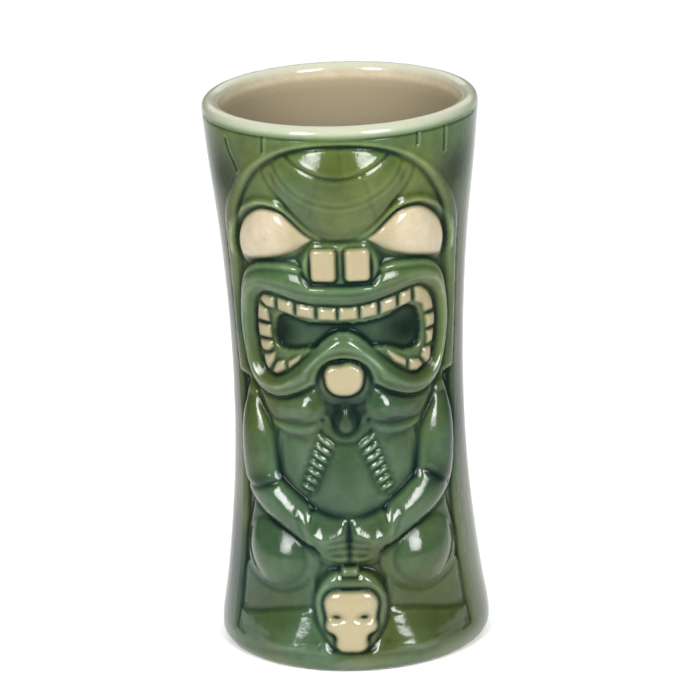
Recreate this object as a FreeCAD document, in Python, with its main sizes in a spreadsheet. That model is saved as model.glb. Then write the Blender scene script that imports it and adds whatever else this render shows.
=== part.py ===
import FreeCAD, Part
import math
import os
import Sketcher
from FreeCAD import Placement, Rotation, Vector

# A flared ceramic tiki mug. The origin is the centre of the foot on the table, +Z is up, and
# the carved figure looks towards -Y, with +X on the viewer's right. Millimetres.
#
# The mug is a turned vessel with a sunken front, the niche. The figure stands in the niche as
# shallow relief: each sculpted mass is an outline drawn on the XZ plane, pushed out towards -Y
# and kept only inside a ring that lies on the vessel's wall. The ring sets how far it stands out.

doc = FreeCAD.newDocument("tiki_mug")

# ---------------------------------------------------------------- driving dimensions

SIZES = (
    ("Height", 178.0, "foot to rim"),
    ("RimOuter", 43.2, "outer radius at the rim"),
    ("RimWall", 5.2, "wall thickness at the rim, also the width of its round"),
    ("WaistHeight", 82.0, "height of the narrowest place"),
    ("ReliefTop", 174.6, "top of the relief layer, under the rim's collar"),
    ("ReliefBottom", 4.5, "bottom of the relief layer, on the foot's flange"),
    ("ShoulderHeight", 152.0, "height where the wall stops flaring and turns upright"),
    ("HeelHeight", 7.0, "height of the lower size circle"),
    ("GroundRim", 40.9, "wall radius under the relief at its top"),
    ("GroundTop", 38.8, "wall radius under the relief at the shoulder"),
    ("GroundWaist", 34.5, "wall radius under the relief at the waist"),
    ("GroundBase", 40.7, "wall radius under the relief at the lower size circle"),
    ("MantleRim", 43.1, "outside of the mantle at its top"),
    ("MantleTop", 41.0, "outside of the mantle at the shoulder"),
    ("MantleWaist", 36.7, "outside of the mantle at the waist"),
    ("MantleBase", 43.0, "outside of the mantle at the lower size circle"),
    ("LowWaist", 35.5, "outside of the lowest relief at the waist"),
    ("LowRim", 41.6, "outside of the lowest relief at its top"),
    ("LowTop", 39.6, "outside of the lowest relief at the shoulder"),
    ("LowBase", 41.5, "outside of the lowest relief at the lower size circle"),
    ("MiddleTop", 41.3, "outside of the middle relief at the shoulder"),
    ("MiddleWaist", 37.9, "outside of the middle relief at the waist"),
    ("HighTop", 41.6, "outside of the highest relief at the shoulder"),
    ("HighWaist", 38.9, "outside of the highest relief at the waist"),
    ("SkullTop", 41.4, "front of the skull at the top of its ring"),
    ("SkullBase", 42.9, "front of the skull at the bottom of its ring"),
    ("SkullRingTop", 36.5, "top of the skull's ring"),
    ("InnerWaist", 31.0, "inside radius at the waist"),
    ("InnerFloor", 36.2, "inside radius at the floor"),
    ("FloorTop", 7.0, "height of the inside floor"),
    ("FloorRound", 9.0, "round between the wall and the floor"),
    ("FootRadius", 43.1, "outer radius of the foot flange"),
    ("FootRound", 3.6, "round under the foot flange"),
    ("RecessRadius", 31.0, "radius of the recess under the foot"),
    ("RecessDepth", 1.4, "depth of the recess under the foot"),
    ("Reach", 60.0, "length of the prisms that cut the relief"),
)

sheet = doc.addObject("Spreadsheet::Sheet", "Sizes")
for row, (alias, value, note) in enumerate(SIZES, start=1):
    sheet.set(f"A{row}", note)
    sheet.set(f"B{row}", str(value))
    sheet.setAlias(f"B{row}", alias)
doc.recompute()


def size(alias):
    return float(getattr(sheet, alias))


# ---------------------------------------------------------------- sketching helpers

# Outlines stand on the XZ plane. Turned profiles stand on the YZ plane, so that the seam of each
# turned face is at the back of the mug, away from the figure.
UPRIGHT = Placement(Vector(0, 0, 0), Rotation(Vector(1, 0, 0), 90))
AT_BACK = Placement(Vector(0, 0, 0), Rotation(Vector(0, 0, 1), 90)).multiply(UPRIGHT)


def place_point(sketch, geometry, end, x, z):
    """Fix one end of a sketch line or arc; x and z are sheet aliases, or 0 for the axis."""
    for kind, value in (("DistanceX", x), ("DistanceY", z)):
        number = size(value) if value else 0.0
        index = sketch.addConstraint(Sketcher.Constraint(kind, -1, 1, geometry, end, number))
        if value:
            sketch.setExpression(f"Constraints[{index}]", f"<<Sizes>>.{value}")


def flare(sketch, radius_end, height_end, radius_waist):
    """An arc from the waist to another height, upright at the waist. Returns its index."""
    r0, z0 = size(radius_waist), size("WaistHeight")
    r1, z1 = size(radius_end), size(height_end)
    radius = ((r1 - r0) ** 2 + (z1 - z0) ** 2) / (2 * (r1 - r0))
    middle = r0 + radius - math.sqrt(radius**2 - ((z1 - z0) / 2) ** 2)
    arc = Part.Arc(Vector(r0, z0, 0), Vector(middle, (z0 + z1) / 2, 0), Vector(r1, z1, 0))
    index = sketch.addGeometry(arc, False)
    at_waist, at_end = (2, 1) if z1 > z0 else (1, 2)
    place_point(sketch, index, at_waist, radius_waist, "WaistHeight")
    place_point(sketch, index, at_end, radius_end, height_end)
    level = sketch.addConstraint(Sketcher.Constraint("DistanceY", -1, 1, index, 3, z0))
    sketch.setExpression(f"Constraints[{level}]", "<<Sizes>>.WaistHeight")
    return index


def shoulder(sketch, flare_index, radius_low, radius_top):
    """An arc that goes on smoothly from a flare's upper end to the top of the relief."""
    r0, z0 = size(radius_low), size("ShoulderHeight")
    r1, z1 = size(radius_top), size("ReliefTop")
    centre = sketch.Geometry[flare_index].Center
    spoke = Vector(r0 - centre.x, z0 - centre.y, 0).normalize()
    chord = Vector(r1 - r0, z1 - z0, 0)
    radius = chord.Length**2 / (2 * chord.dot(spoke))
    own_centre = Vector(r0, z0, 0) + spoke * radius
    middle = Vector((r0 + r1) / 2, (z0 + z1) / 2, 0) - own_centre
    arc = Part.Arc(Vector(r0, z0, 0), own_centre + middle.normalize() * abs(radius), Vector(r1, z1, 0))
    index = sketch.addGeometry(arc, False)
    sketch.addConstraint(Sketcher.Constraint("Tangent", flare_index, 1, index, 1))
    place_point(sketch, index, 2, radius_top, "ReliefTop")


def line(sketch, start, end):
    """A line between two points, each a pair of sheet aliases or 0."""
    ends = [Vector(*(size(value) if value else 0.0 for value in point), 0) for point in (start, end)]
    index = sketch.addGeometry(Part.LineSegment(*ends), False)
    place_point(sketch, index, 1, *start)
    place_point(sketch, index, 2, *end)
    return index


def curve_through(points, closed=False):
    """A line through two points, or one smooth curve through more."""
    places = [Vector(x, z, 0) for x, z in points]
    if len(places) == 2:
        return Part.LineSegment(*places)
    curve = Part.BSplineCurve()
    curve.interpolate(places, PeriodicFlag=closed)
    return curve


def both_sides(points):
    """A right-hand run of points with its mirror image, left to right."""
    left = [(-x, z) for x, z in reversed(points) if x > 0]
    return left + list(points)


def reverse(points):
    return list(reversed(points))


# ---------------------------------------------------------------- rings and prisms


def ring(name, rim, top, waist, base):
    """The space between the vessel's wall and an outer flare, all round the mug."""
    sketch = doc.addObject("Sketcher::SketchObject", name + "_profile")
    sketch.Placement = AT_BACK
    shoulder(sketch, flare(sketch, "GroundTop", "ShoulderHeight", "GroundWaist"), "GroundTop", "GroundRim")
    flare(sketch, "GroundBase", "HeelHeight", "GroundWaist")
    shoulder(sketch, flare(sketch, top, "ShoulderHeight", waist), top, rim)
    flare(sketch, base, "HeelHeight", waist)
    line(sketch, ("GroundRim", "ReliefTop"), (rim, "ReliefTop"))
    line(sketch, ("GroundBase", "HeelHeight"), ("GroundBase", "ReliefBottom"))
    line(sketch, ("GroundBase", "ReliefBottom"), (base, "ReliefBottom"))
    line(sketch, (base, "ReliefBottom"), (base, "HeelHeight"))
    return revolved(name, sketch)


def leaning_block(name):
    """A turned block with a straight slanting side, for the skull over the feet."""
    sketch = doc.addObject("Sketcher::SketchObject", name + "_profile")
    sketch.Placement = AT_BACK
    line(sketch, (0, "ReliefBottom"), ("SkullBase", "ReliefBottom"))
    line(sketch, ("SkullBase", "ReliefBottom"), ("SkullTop", "SkullRingTop"))
    line(sketch, ("SkullTop", "SkullRingTop"), (0, "SkullRingTop"))
    line(sketch, (0, "SkullRingTop"), (0, "ReliefBottom"))
    return revolved(name, sketch)


def revolved(name, sketch):
    turned = doc.addObject("Part::Revolution", name)
    turned.Source = sketch
    turned.Axis = Vector(0, 0, 1)
    turned.Base = Vector(0, 0, 0)
    turned.Angle = 360
    turned.Solid = True
    return turned


def prism(name, *outlines):
    """Outlines pushed out from the XZ plane towards -Y.

    An outline is a list of runs that meet end to end, or one run alone, which closes smoothly.
    """
    sketch = doc.addObject("Sketcher::SketchObject", name + "_outline")
    sketch.Placement = UPRIGHT
    for runs in outlines:
        alone = len(runs) == 1
        for run in runs:
            sketch.addGeometry(curve_through(run, closed=alone), False)
    block = doc.addObject("Part::Extrusion", name + "_prism")
    block.Base = sketch
    block.DirMode = "Normal"
    block.Solid = True
    block.FaceMakerClass = "Part::FaceMakerBullseye"
    block.setExpression("LengthFwd", "<<Sizes>>.Reach")
    return block


def both(name, first, second):
    shared = doc.addObject("Part::Common", name)
    shared.Base = first
    shared.Tool = second
    return shared


def less(name, solid, tool):
    cut = doc.addObject("Part::Cut", name)
    cut.Base = solid
    cut.Tool = tool
    return cut


nodes = []


def keep(name, solid):
    """Make an object a sub-part: its label names its file."""
    solid.Label = name
    nodes.append(solid)
    return solid


def relief(name, layer, block, holes=()):
    """One mass of the figure: a prism inside a ring, without the masses that lie in it."""
    solid = both(name + "_whole" if holes else name, block, layer)
    for index, hole in enumerate(holes, start=1):
        last = index == len(holes)
        solid = less(name if last else f"{name}_cut_{index}", solid, hole)
    return keep(name, solid)


def relief_pair(name, layer, block, holes=()):
    """The same mass on the right and, mirrored, on the left."""
    right = relief(name + "_right", layer, block, holes)
    left = doc.addObject("Part::Mirroring", name + "_left")
    left.Source = right
    left.Base = Vector(0, 0, 0)
    left.Normal = Vector(1, 0, 0)
    return keep(name + "_left", left)


# ---------------------------------------------------------------- vessel

vessel = doc.addObject("PartDesign::Body", "vessel")
profile = vessel.newObject("Sketcher::SketchObject", "vessel_profile")
planes = {feature.Role: feature for feature in vessel.Origin.OriginFeatures}
profile.AttachmentSupport = [(planes["XZ_Plane"], "")]
profile.MapMode = "FlatFace"

for alias, formula in (
    ("RimInner", "=RimOuter - RimWall"),
    ("RimCentre", "=RimOuter - RimWall / 2"),
    ("RimSpring", "=Height - RimWall / 2"),
    ("RecessEdge", "=RecessRadius + RecessDepth"),
):
    row += 1
    sheet.set(f"B{row}", formula)
    sheet.setAlias(f"B{row}", alias)
doc.recompute()

line(profile, (0, "RecessDepth"), ("RecessRadius", "RecessDepth"))
line(profile, ("RecessRadius", "RecessDepth"), ("RecessEdge", 0))
line(profile, ("RecessEdge", 0), ("FootRadius", 0))
line(profile, ("FootRadius", 0), ("FootRadius", "ReliefBottom"))
line(profile, ("FootRadius", "ReliefBottom"), ("GroundBase", "ReliefBottom"))
line(profile, ("GroundBase", "ReliefBottom"), ("GroundBase", "HeelHeight"))
flare(profile, "GroundBase", "HeelHeight", "GroundWaist")
shoulder(profile, flare(profile, "GroundTop", "ShoulderHeight", "GroundWaist"), "GroundTop", "GroundRim")
line(profile, ("GroundRim", "ReliefTop"), ("RimOuter", "ReliefTop"))
line(profile, ("RimOuter", "ReliefTop"), ("RimOuter", "RimSpring"))
rim_round = Part.Arc(
    Vector(size("RimOuter"), size("RimSpring"), 0),
    Vector(size("RimCentre"), size("Height"), 0),
    Vector(size("RimInner"), size("RimSpring"), 0),
)
rim = profile.addGeometry(rim_round, False)
place_point(profile, rim, 1, "RimOuter", "RimSpring")
place_point(profile, rim, 2, "RimInner", "RimSpring")
level = profile.addConstraint(Sketcher.Constraint("DistanceY", -1, 1, rim, 3, size("RimSpring")))
profile.setExpression(f"Constraints[{level}]", "<<Sizes>>.RimSpring")
flare(profile, "RimInner", "RimSpring", "InnerWaist")
flare(profile, "InnerFloor", "FloorTop", "InnerWaist")
line(profile, ("InnerFloor", "FloorTop"), (0, "FloorTop"))
line(profile, (0, "FloorTop"), (0, "RecessDepth"))

turned = vessel.newObject("PartDesign::Revolution", "vessel_turned")
turned.Profile = profile
turned.ReferenceAxis = (profile, ["V_Axis"])
turned.Angle = 360
doc.recompute()


def circle_edge(shape, radius, height):
    """The name of the circular edge of this radius at this height."""
    for index, edge in enumerate(shape.Edges, start=1):
        if not isinstance(edge.Curve, Part.Circle):
            continue
        if abs(edge.Curve.Radius - radius) < 0.01 and abs(edge.Curve.Center.z - height) < 0.01:
            return f"Edge{index}"
    raise RuntimeError(f"no circular edge of radius {radius} at height {height}")


floor_round = vessel.newObject("PartDesign::Fillet", "floor_round")
floor_round.Base = (turned, [circle_edge(turned.Shape, size("InnerFloor"), size("FloorTop"))])
floor_round.setExpression("Radius", "<<Sizes>>.FloorRound")
doc.recompute()
foot_round = vessel.newObject("PartDesign::Fillet", "foot_round")
foot_round.Base = (floor_round, [circle_edge(floor_round.Shape, size("FootRadius"), 0.0)])
foot_round.setExpression("Radius", "<<Sizes>>.FootRound")
keep("vessel", vessel)

# ---------------------------------------------------------------- layers

core_profile = doc.addObject("Sketcher::SketchObject", "core_profile")
core_profile.Placement = AT_BACK
flare(core_profile, "GroundTop", "ShoulderHeight", "GroundWaist")
flare(core_profile, "GroundBase", "HeelHeight", "GroundWaist")
line(core_profile, ("GroundTop", "ShoulderHeight"), (0, "ShoulderHeight"))
line(core_profile, (0, "ShoulderHeight"), (0, 0))
line(core_profile, (0, 0), ("GroundBase", 0))
line(core_profile, ("GroundBase", 0), ("GroundBase", "HeelHeight"))
core = revolved("core", core_profile)

low = ring("low_layer", "LowRim", "LowTop", "LowWaist", "LowBase")
mantle_layer = ring("mantle_layer", "MantleRim", "MantleTop", "MantleWaist", "MantleBase")
middle = ring("middle_layer", "MantleRim", "MiddleTop", "MiddleWaist", "MantleBase")
high = ring("high_layer", "MantleRim", "HighTop", "HighWaist", "MantleBase")
skull_layer = less("skull_layer", leaning_block("skull_block"), core)

# ---------------------------------------------------------------- mantle and hood

ARCH_OUTER = [(0, 173.5), (10, 172.9), (19, 170.5), (26.5, 165.4), (32, 158.2), (35, 150.2), (36, 140)]
ARCH_INNER = [(0, 172.3), (9.5, 171.5), (18, 168.9), (24.4, 164.4), (29.2, 157.4), (31.9, 150), (32.9, 140)]
SIDE_OUTER = [(36, 140), (34.9, 120), (33.9, 100), (33.5, 92.6)]
SIDE_INNER = [(32.9, 140), (33, 120), (32.6, 108), (31.7, 98), (30.9, 92.6)]
MANTLE_EDGE = [(36.4, 140), (35.3, 120), (34.3, 100), (33.6, 82), (33.6, 60), (34.4, 43), (35.6, 29),
               (37.2, 16), (38.6, 4)]
MANTLE_ARCH = [(0, 173.8), (10, 173.2), (19.1, 170.8), (26.8, 165.7), (32.4, 158.4), (35.4, 150.3),
               (36.4, 140)]


def mirrored(points):
    return [(-x, z) for x, z in points]


niche = prism("niche", [
    both_sides(MANTLE_ARCH),
    MANTLE_EDGE,
    [MANTLE_EDGE[-1], (-MANTLE_EDGE[-1][0], MANTLE_EDGE[-1][1])],
    mirrored(reverse(MANTLE_EDGE)),
])
keep("mantle", less("mantle_back", mantle_layer, niche))

relief("hood_arch", middle, prism("hood_arch", [
    both_sides(ARCH_OUTER),
    SIDE_OUTER,
    [SIDE_OUTER[-1], SIDE_INNER[-1]],
    reverse(SIDE_INNER),
    reverse(both_sides(ARCH_INNER)),
    mirrored(SIDE_INNER),
    mirrored([SIDE_INNER[-1], SIDE_OUTER[-1]]),
    mirrored(reverse(SIDE_OUTER)),
]))

# ---------------------------------------------------------------- forehead, lids and eyes

CROWN_TOP = [(0, 171.8), (9, 171), (16.3, 168.9)]
CROWN_LOW = [(0, 162.6), (8.4, 164.4), (16.3, 168.9)]
BAND_TOP = [(0, 162), (8.6, 163.8), (17, 168.9)]
BAND_LOW = [(0, 153.4), (7, 154.6), (14, 158.4), (20.4, 166.2)]
BROW_TOP = [(0, 152.8), (7.3, 154), (14.5, 157.9), (21, 165.8)]
BROW_LOW = [(0, 141.3), (5, 142), (9.6, 144.8), (14.2, 149.4), (18.6, 154.4), (22, 159), (24, 163.4)]
relief("forehead_crown", middle, prism("forehead_crown", [
    both_sides(CROWN_TOP), reverse(both_sides(CROWN_LOW))]))
relief("forehead_band", middle, prism("forehead_band", [
    both_sides(BAND_TOP), [BAND_TOP[-1], BAND_LOW[-1]],
    reverse(both_sides(BAND_LOW)), mirrored([BAND_LOW[-1], BAND_TOP[-1]])]))
relief("forehead_brow", middle, prism("forehead_brow", [
    both_sides(BROW_TOP), [BROW_TOP[-1], BROW_LOW[-1]],
    reverse(both_sides(BROW_LOW)), mirrored([BROW_LOW[-1], BROW_TOP[-1]])]))

LID_TOP = [(5.4, 141.7), (10.1, 144.5), (14.7, 149), (19, 154), (22.5, 158.7), (24.6, 163.2)]
LID_SIDE = [(24.6, 163.2), (28.8, 156.8), (31.4, 149.8), (32.4, 143.4)]
LID_LOW = [(32.4, 143.4), (31.6, 146.2), (28.9, 149.4), (25.6, 150.9), (21.5, 151.1), (18, 150),
           (14.8, 147.4), (11.8, 144.6), (5.4, 141.7)]
relief_pair("eyelid", high, prism("eyelid", [LID_TOP, LID_SIDE, LID_LOW]))

EYE_TOP = [(8.5, 141.5), (12.3, 144.1), (15.4, 147), (18.4, 149.3), (21.5, 150.3), (25.4, 150),
           (28.5, 147.8), (31, 144.2), (32.2, 140.2), (32.3, 136), (31.3, 132)]
EYE_LOW = [(31.3, 132), (28.3, 132.6), (23.8, 133.8), (18.8, 135.4), (13.8, 137.8), (11, 139.8), (8.5, 141.5)]
relief_pair("eye", high, prism("eye", [EYE_TOP, EYE_LOW]))

# ---------------------------------------------------------------- nose

NOSTRIL_LEFT, NOSTRIL_RIGHT, NOSTRIL_LOW, NOSTRIL_HIGH, NOSTRIL_ROUND = 1.3, 9.2, 128, 139, 1.6


def rounded_box(x0, z0, x1, z1, radius):
    """The runs of a rectangle with round corners."""
    bend = radius * (1 - math.sqrt(0.5))
    runs = []
    corners = ((x1, z1, -1, -1), (x0, z1, 1, -1), (x0, z0, 1, 1), (x1, z0, -1, 1))
    for turn, (x, z, inward_x, inward_z) in enumerate(corners):
        along_z = (x, z + inward_z * radius)
        along_x = (x + inward_x * radius, z)
        round_point = (x + inward_x * bend, z + inward_z * bend)
        ends = (along_z, along_x) if turn % 2 == 0 else (along_x, along_z)
        runs.append([ends[0], round_point, ends[1]])
    straights = [[runs[turn][-1], runs[(turn + 1) % 4][0]] for turn in range(4)]
    return [run for pair in zip(runs, straights) for run in pair]


nostril_outline = rounded_box(NOSTRIL_LEFT, NOSTRIL_LOW, NOSTRIL_RIGHT, NOSTRIL_HIGH, NOSTRIL_ROUND)
nostril_left_outline = rounded_box(-NOSTRIL_RIGHT, NOSTRIL_LOW, -NOSTRIL_LEFT, NOSTRIL_HIGH, NOSTRIL_ROUND)
nostril = prism("nostril", nostril_outline)
nostrils = prism("nostrils", nostril_outline, nostril_left_outline)
NOSE_SIDE = [(8.2, 140.6), (9.8, 139.2), (11.6, 136), (12.4, 132.8), (11.3, 129), (9.5, 126.6)]
nose = prism("nose", [
    NOSE_SIDE, [NOSE_SIDE[-1], mirrored(NOSE_SIDE)[-1]],
    mirrored(reverse(NOSE_SIDE)), [mirrored(NOSE_SIDE)[0], NOSE_SIDE[0]]])
relief("nose", high, nose, [nostrils])
relief_pair("nostril", high, nostril)

# ---------------------------------------------------------------- mouth

LIPS_TOP = [(0, 131), (6, 131.2), (12, 132.4), (17, 133.3), (22, 133), (26.6, 131.9), (29.7, 129.6),
            (31.2, 126.2), (32, 120.8), (32.4, 114.4), (32.2, 107.6), (31.3, 101), (29.9, 94.8),
            (27.6, 90.7), (24, 88.5), (20.5, 88.4), (16.4, 89.7), (12.7, 91.6), (9.2, 93.8)]
CHIN_NOTCH = [(0, 102.2), (3, 101.8), (6, 100.3), (8.2, 97.2), (9.2, 93.8)]
MOUTH = [(0, 120), (10, 120.9), (17, 122.7), (22, 124), (25.6, 123.7), (28.3, 121.2), (29.4, 117),
         (29.5, 110), (29, 104), (28, 99.4), (26, 96.2), (22.6, 94.9), (18.4, 96.6), (14.5, 100),
         (11, 103.6), (7.5, 107.4), (4, 110.2), (0, 111.3), (-4, 110), (-7.5, 107.2), (-11, 103.4),
         (-14.5, 99.8), (-18.4, 96.4), (-22, 94.9), (-25, 96), (-26.8, 99.4), (-27.7, 104), (-28.1, 110),
         (-28.1, 116), (-27.2, 120.4), (-24.8, 122.4), (-21.5, 122.5), (-16.5, 121.4), (-10, 120.3)]
GAPE = [(0, 113.9), (10.6, 114.4), (16.4, 116), (20.6, 117.6), (23.6, 116.4), (25, 112.4), (24.9, 107),
        (23.6, 103.8), (20.2, 102.9), (15.6, 104.8), (11, 105.6), (6, 105.8), (0, 105.8), (-6, 105.8),
        (-11, 105.4), (-15, 104.6), (-18.6, 104.2), (-21.3, 105.4), (-22.2, 108.6), (-22, 112),
        (-20.6, 115), (-17.4, 115.4), (-10.6, 113.9)]


def loop_of(points):
    """One smooth closed run from a right-hand run that starts and ends on the centre line."""
    return points + mirrored(reverse(points[1:-1]))


mouth_opening = prism("mouth_opening", [MOUTH])
gape = prism("gape", [GAPE])
relief("lips", high, prism("lips", [
    both_sides(LIPS_TOP), reverse(both_sides(CHIN_NOTCH))]), [nose, mouth_opening])


# The row of upper teeth rises to both sides, a little more to the right: its top and bottom are
# each a height at the middle, a slope and a curve.
TOOTH_TOP = (119.2, 0.035, 0.0068)
TOOTH_BOTTOM = (114.8, 0.03, 0.0065)


def row_height(x, row_curve):
    middle, slope, curve = row_curve
    return middle + slope * x + curve * x**2


def rounded_corners(corners, radius):
    """The runs of a straight-sided outline with its corners taken round."""
    runs = []
    for turn, corner in enumerate(corners):
        before, after = corners[turn - 1], corners[(turn + 1) % len(corners)]
        ends = []
        for other in (before, after):
            length = math.dist(corner, other)
            ends.append(tuple(c + (o - c) * radius / length for c, o in zip(corner, other)))
        middle_point = tuple((a + b) / 4 + c / 2 for c, a, b in zip(corner, *ends))
        runs.append([ends[0], middle_point, ends[1]])
    straights = [[runs[turn][-1], runs[(turn + 1) % len(runs)][0]] for turn in range(len(runs))]
    return [run for pair in zip(runs, straights) for run in pair]


UPPER_ROUND, SIDE_ROUND = 0.9, 0.6
UPPER_TEETH = ((-20.8, -15.5), (-14.7, -8.8), (-7.9, -1.8), (-1.1, 5.1), (5.9, 11.3), (12.1, 17.3),
               (18.1, 22))
RIGHT_TEETH = (
    ((22.9, 123.4), (25, 123.3), (27, 121.2), (28.3, 118.2), (28.9, 114.3), (25.8, 114.2), (25.2, 117),
     (22.9, 118.4)),
    ((26.2, 113.2), (29.1, 113.3), (29.1, 108.8), (26.3, 108.6)),
    ((26.4, 107.8), (28.9, 108), (28.2, 103.6), (26.3, 103.4)),
    ((25.3, 102.8), (27.8, 102.4), (27.5, 98.4), (26.2, 96.9), (24.4, 100)),
    ((20.7, 100), (23.7, 99.6), (25.3, 97), (23, 95.5), (20.7, 96.2)),
    ((13.4, 104), (15.4, 103.6), (19.9, 100.4), (19.9, 97.4), (16, 100)),
)
LEFT_TEETH = (
    ((-21.7, 121.2), (-25.4, 121.4), (-26.6, 119.6), (-24.4, 117.4), (-21.7, 117.4)),
    ((-27, 118.2), (-24, 116.6), (-23.6, 112.4), (-27.7, 112.5)),
    ((-27.6, 111.6), (-23.4, 111.5), (-23.2, 107.2), (-27.3, 107)),
    ((-27.2, 106.2), (-23.1, 106.4), (-22.6, 104.4), (-24.4, 102.6), (-26.4, 102.6)),
    ((-26, 101.6), (-23.8, 102), (-21.8, 103.4), (-22.4, 100), (-24.4, 96.6), (-25.4, 98)),
    ((-23.4, 96.2), (-21.6, 100), (-19, 101), (-18.8, 97.8), (-21.6, 95.7)),
    ((-18, 100.6), (-15, 102.6), (-13.2, 103.8), (-14.4, 101), (-18, 98)),
)
upper_teeth = prism("upper_teeth", *(
    rounded_corners([(a, row_height(a, TOOTH_TOP)), (b, row_height(b, TOOTH_TOP)),
                     (b, row_height(b, TOOTH_BOTTOM)), (a, row_height(a, TOOTH_BOTTOM))], UPPER_ROUND)
    for a, b in UPPER_TEETH))
right_teeth = prism("right_teeth", *(rounded_corners(corners, SIDE_ROUND) for corners in RIGHT_TEETH))
left_teeth = prism("left_teeth", *(rounded_corners(corners, SIDE_ROUND) for corners in LEFT_TEETH))
relief("gums", low, mouth_opening, [gape, upper_teeth, right_teeth, left_teeth])
relief("teeth_upper", mantle_layer, upper_teeth)
relief("teeth_side_right", mantle_layer, right_teeth)
relief("teeth_side_left", mantle_layer, left_teeth)

TUFT = [(0, 101), (4.4, 100.4), (6.1, 98.4), (6.2, 95.5), (5.3, 92.6), (3.2, 90.8), (0, 90.2)]
CHIN = [(0, 101.8), (2.9, 101.4), (5.8, 99.9), (7.8, 97), (8.2, 93.6), (7, 90.6), (4.2, 88.7), (0, 88.1)]
tuft = prism("tuft", [loop_of(TUFT)])
relief("chin", high, prism("chin", [loop_of(CHIN)]), [tuft])
relief("chin_tuft", high, tuft)

# ---------------------------------------------------------------- chest

PECTORAL_TOP = [(8.9, 92.9), (12.8, 91), (16.6, 89.2), (20.6, 87.9), (24.2, 88), (27.2, 89.4)]
PECTORAL_LOW = [(27.2, 89.4), (26.4, 85.4), (24.4, 81.8), (18.7, 80.8), (13.3, 81.2), (8.4, 82.6),
                (7.6, 86.6), (8.9, 92.9)]
relief_pair("pectoral", middle, prism("pectoral", [PECTORAL_TOP, PECTORAL_LOW]))
RIB_TOP = [(8.8, 81.9), (13.3, 80.5), (18.7, 80.1), (23.4, 80.8)]
RIB_LOW = [(23.4, 80.8), (23.6, 79), (21.5, 77.6), (16, 76.7), (11, 77.3), (8.8, 81.9)]
relief_pair("rib", middle, prism("rib", [RIB_TOP, RIB_LOW]))

DROP = [(0, 87.6), (1.6, 84.2), (2.6, 80.6), (2, 78.3), (0, 77.5), (-2, 78.3), (-2.6, 80.6),
        (-1.6, 84.2), (0, 87.6)]
relief("throat_drop", middle, prism("throat_drop", [DROP[:5], DROP[4:]]))
COLLAR_OUT = [(0, 74.5), (3.6, 75.6), (6.7, 79), (8.2, 82.4)]
COLLAR_IN = [(0, 76.4), (2.9, 77.3), (5.2, 79.9), (6.6, 82.8)]
relief("collar_lip", middle, prism("collar_lip", [
    both_sides(COLLAR_OUT), [COLLAR_OUT[-1], COLLAR_IN[-1]],
    reverse(both_sides(COLLAR_IN)), mirrored([COLLAR_IN[-1], COLLAR_OUT[-1]])]))

# ---------------------------------------------------------------- belly and its leaf fringe

# Each pair of values is for the first leaf, at the throat, and the last, by the forearm.
LEAVES = 7
LEAF_HALF_WIDTH = 0.95
LEAF_ROOT_X = (3.8, 10.6)
LEAF_ROOT_Z = (72.8, 58.9)
LEAF_ANGLE = (38, 24)
LEAF_LENGTH = (7.2, 5)


def between(ends, along):
    return ends[0] + (ends[1] - ends[0]) * along


def leaf(number):
    """One leaf of the fringe: a lens from its root beside the belly to its tip."""
    along = number / (LEAVES - 1)
    root_x, root_z = between(LEAF_ROOT_X, along), between(LEAF_ROOT_Z, along)
    angle = math.radians(between(LEAF_ANGLE, along))
    length = between(LEAF_LENGTH, along)
    tip = (root_x + length * math.cos(angle), root_z + length * math.sin(angle))
    side = (-math.sin(angle) * LEAF_HALF_WIDTH, math.cos(angle) * LEAF_HALF_WIDTH)
    centre = ((root_x + tip[0]) / 2, (root_z + tip[1]) / 2)
    above = (centre[0] + side[0], centre[1] + side[1])
    below = (centre[0] - side[0], centre[1] - side[1])
    return [[(root_x, root_z), above, tip], [tip, below, (root_x, root_z)]]


fringe = prism("fringe", *(leaf(number) for number in range(LEAVES)))
fringe_mirror = prism("fringe_mirror", *(
    [mirrored(run) for run in leaf(number)] for number in range(LEAVES)))
relief_pair("fringe", high, fringe)

BELLY_SIDE = [(3.4, 73.6), (5.4, 70), (7, 66.4), (8.6, 62.4), (10.4, 58.6), (12.6, 56.2)]
BELLY_LOW = [(0, 51.5), (6.5, 52.7), (12.6, 56.2)]
relief("belly", middle, prism("belly", [
    BELLY_SIDE, reverse(both_sides(BELLY_LOW)), mirrored(reverse(BELLY_SIDE)),
    [(-3.4, 73.6), (3.4, 73.6)]]), [fringe, fringe_mirror])

FLANK_TOP = [(9.4, 76), (15.6, 76), (21.2, 77)]
FLANK_SIDE = [(21.2, 77), (21.5, 70), (21.2, 63.2)]
FLANK_INNER = [(13.6, 57.8), (13.9, 61.2), (12.6, 65.8), (10.6, 71), (9.4, 76)]
relief_pair("flank", low, prism("flank", [
    FLANK_TOP, FLANK_SIDE, [FLANK_SIDE[-1], FLANK_INNER[0]], FLANK_INNER]), [fringe])

# ---------------------------------------------------------------- arms and hands

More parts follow.
